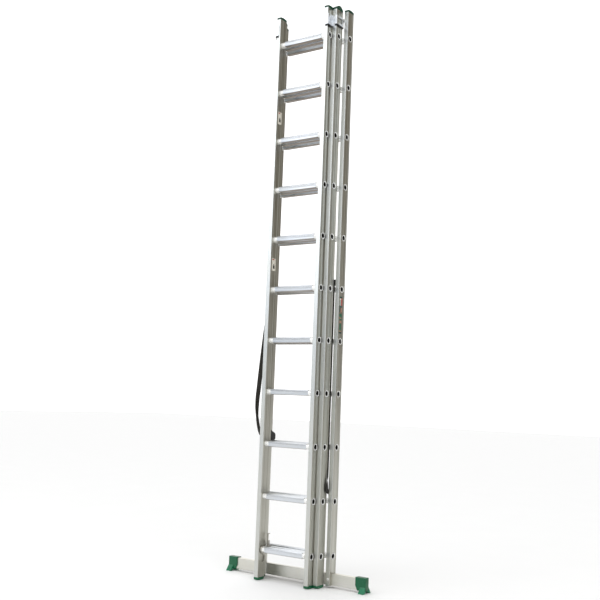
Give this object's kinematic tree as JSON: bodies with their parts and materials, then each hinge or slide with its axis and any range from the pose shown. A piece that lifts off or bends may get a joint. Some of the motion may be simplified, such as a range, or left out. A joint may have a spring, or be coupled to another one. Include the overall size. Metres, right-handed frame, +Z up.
{
  "type": "extension ladder",
  "caption": "Closed three-section aluminium extension ladder with ribbed rungs, nested box stiles, stabiliser bar with splayed green feet, rung hooks, swivel guides and stowed straps.",
  "frame": {"origin": "on the floor, under the middle of the closed ladder's box", "axes": "+Z up along the stiles, +X to the right as the climber faces the ladder, -Y towards the climber"},
  "size_m": [0.89, 0.1768, 3.135],
  "materials": {
    "stile_alloy": "mill finish with fine drawing lines",
    "rung_alloy": "mill finish, ribbed",
    "bar_alloy": "mill finish",
    "guide_steel": "bright zinc plated",
    "hook_steel": "zinc plated",
    "zinc_steel": "zinc plated",
    "green_plastic": "moulded, satin",
    "black_plastic": "moulded, satin",
    "black_webbing": "woven webbing"
  },
  "bodies": {
    "rear_section": {"rear_stile_left": "stile_alloy", "rear_stile_right": "stile_alloy", "rear_rung_01": "rung_alloy", "rear_rung_02": "rung_alloy", "rear_rung_03": "rung_alloy", "rear_rung_04": "rung_alloy", "rear_rung_05": "rung_alloy", "rear_rung_06": "rung_alloy", "rear_rung_07": "rung_alloy", "rear_rung_08": "rung_alloy", "rear_rung_09": "rung_alloy", "rear_rung_10": "rung_alloy", "rear_rung_11": "rung_alloy", "rear_top_caps": "green_plastic", "stabiliser_bar": "bar_alloy", "bar_foot_left": "green_plastic", "bar_foot_right": "green_plastic", "bar_bolts": "zinc_steel", "pivot_pins": "zinc_steel", "strap_left": "black_webbing", "strap_right": "black_webbing", "strap_fittings": "black_plastic"},
    "swivel_guides": {"swivel_guide_left": "guide_steel", "swivel_guide_right": "guide_steel"},
    "middle_section": {"middle_stile_left": "stile_alloy", "middle_stile_right": "stile_alloy", "middle_rung_01": "rung_alloy", "middle_rung_02": "rung_alloy", "middle_rung_03": "rung_alloy", "middle_rung_04": "rung_alloy", "middle_rung_05": "rung_alloy", "middle_rung_06": "rung_alloy", "middle_rung_07": "rung_alloy", "middle_rung_08": "rung_alloy", "middle_rung_09": "rung_alloy", "middle_rung_10": "rung_alloy", "middle_rung_11": "rung_alloy", "middle_top_caps": "green_plastic", "middle_foot_plugs": "green_plastic", "front_guides": "guide_steel", "guide_rivets": "zinc_steel"},
    "front_section": {"front_stile_left": "stile_alloy", "front_stile_right": "stile_alloy", "front_rung_01": "rung_alloy", "front_rung_02": "rung_alloy", "front_rung_03": "rung_alloy", "front_rung_04": "rung_alloy", "front_rung_05": "rung_alloy", "front_rung_06": "rung_alloy", "front_rung_07": "rung_alloy", "front_rung_08": "rung_alloy", "front_rung_09": "rung_alloy", "front_rung_10": "rung_alloy", "front_rung_11": "rung_alloy", "front_top_caps": "green_plastic", "front_foot_plugs": "green_plastic"},
    "front_hook_left": {"front_hook_left": "hook_steel"},
    "front_hook_right": {"front_hook_right": "hook_steel"},
    "middle_hook_left": {"middle_hook_left": "hook_steel"},
    "middle_hook_right": {"middle_hook_right": "hook_steel"}
  },
  "joints": [
    {"name": "trestle_swing", "type": "hinge", "parent": "rear_section", "child": "swivel_guides", "pos_m": [0, 0.0409, 3.063], "axis": [-1, 0, 0], "range_deg": [0, 30]},
    {"name": "middle_slide", "type": "slide", "parent": "swivel_guides", "child": "middle_section", "axis": [0, 0, 1], "range_m": [0, 2.24]},
    {"name": "front_slide", "type": "slide", "parent": "middle_section", "child": "front_section", "axis": [0, 0, 1], "range_m": [0, 2.24]},
    {"name": "front_hook_left_pivot", "type": "hinge", "parent": "front_section", "child": "front_hook_left", "pos_m": [-0.1435, -0.0561, 0.16], "axis": [-1, 0, 0], "range_deg": [0, 270]},
    {"name": "front_hook_right_pivot", "type": "hinge", "parent": "front_section", "child": "front_hook_right", "pos_m": [0.1435, -0.0561, 0.16], "axis": [-1, 0, 0], "range_deg": [0, 270]},
    {"name": "middle_hook_left_pivot", "type": "hinge", "parent": "middle_section", "child": "middle_hook_left", "pos_m": [-0.1325, -0.0106, 0.16], "axis": [-1, 0, 0], "range_deg": [0, 90]},
    {"name": "middle_hook_right_pivot", "type": "hinge", "parent": "middle_section", "child": "middle_hook_right", "pos_m": [0.1325, -0.0106, 0.16], "axis": [-1, 0, 0], "range_deg": [0, 90]}
  ]
}
